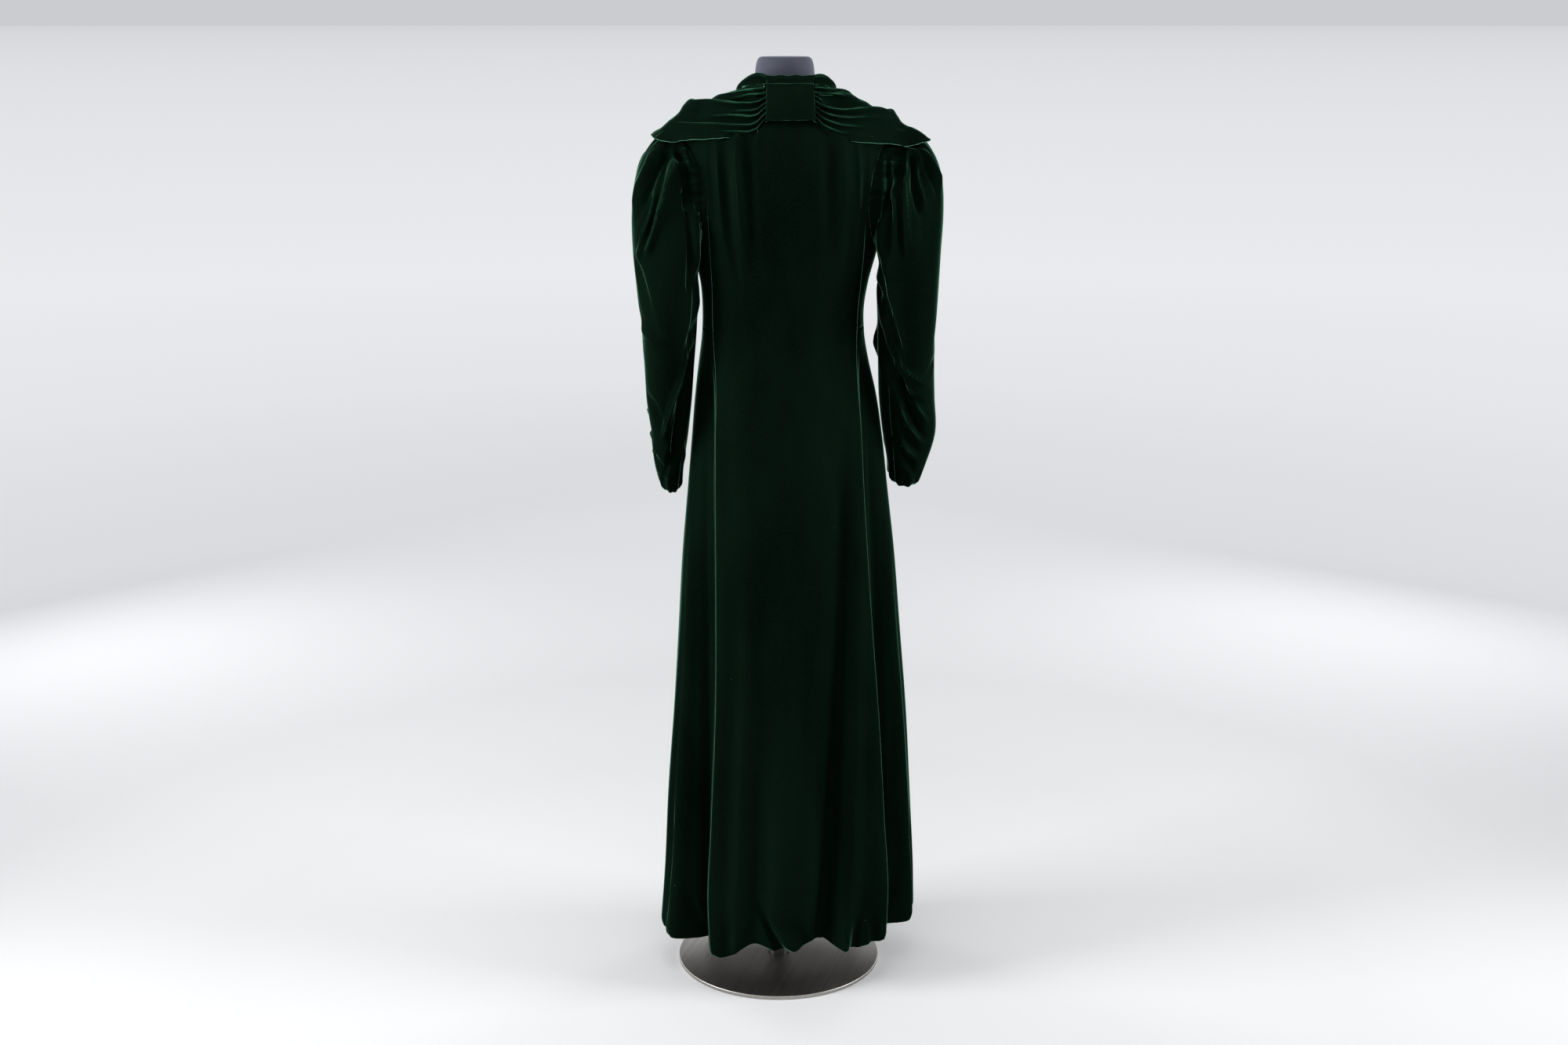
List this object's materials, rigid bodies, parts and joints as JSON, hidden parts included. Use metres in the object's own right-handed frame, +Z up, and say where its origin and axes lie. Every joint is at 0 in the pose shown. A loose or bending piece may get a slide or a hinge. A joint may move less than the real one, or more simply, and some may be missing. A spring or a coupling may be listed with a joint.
{
  "type": "velvet coat on dress form",
  "caption": "Full-length velvet evening coat with puffed sleeves and a wide gathered shawl collar, worn by a limbless dress form on a round steel base.",
  "frame": {"origin": "centre of the base plate's underside, on the floor", "axes": "+Z up; the coat's front faces -Y and its back +Y; +X is the wearer's left"},
  "size_m": [0.5008, 0.351, 1.5465],
  "materials": {
    "velvet": "dark green silk velvet with a short dense pile",
    "form_cloth": "smooth dark blue-grey cotton stretched over the form",
    "brushed_steel": "straight brushed stainless steel with a polished rim",
    "black_metal": "satin black"
  },
  "bodies": {
    "root": {"back_panel": "velvet", "side_skirt_left": "velvet", "side_skirt_right": "velvet", "side_bodice_left": "velvet", "side_bodice_right": "velvet", "front_left": "velvet", "front_right": "velvet", "sleeve_upper_left": "velvet", "sleeve_upper_right": "velvet", "sleeve_under_left": "velvet", "sleeve_under_right": "velvet", "collar_centre": "velvet", "collar_wing_left": "velvet", "collar_wing_right": "velvet", "form_torso": "form_cloth", "stand_base": "brushed_steel", "stand_pole": "black_metal", "stand_socket": "black_metal", "stand_stop_ring": "black_metal"}
  },
  "joints": []
}
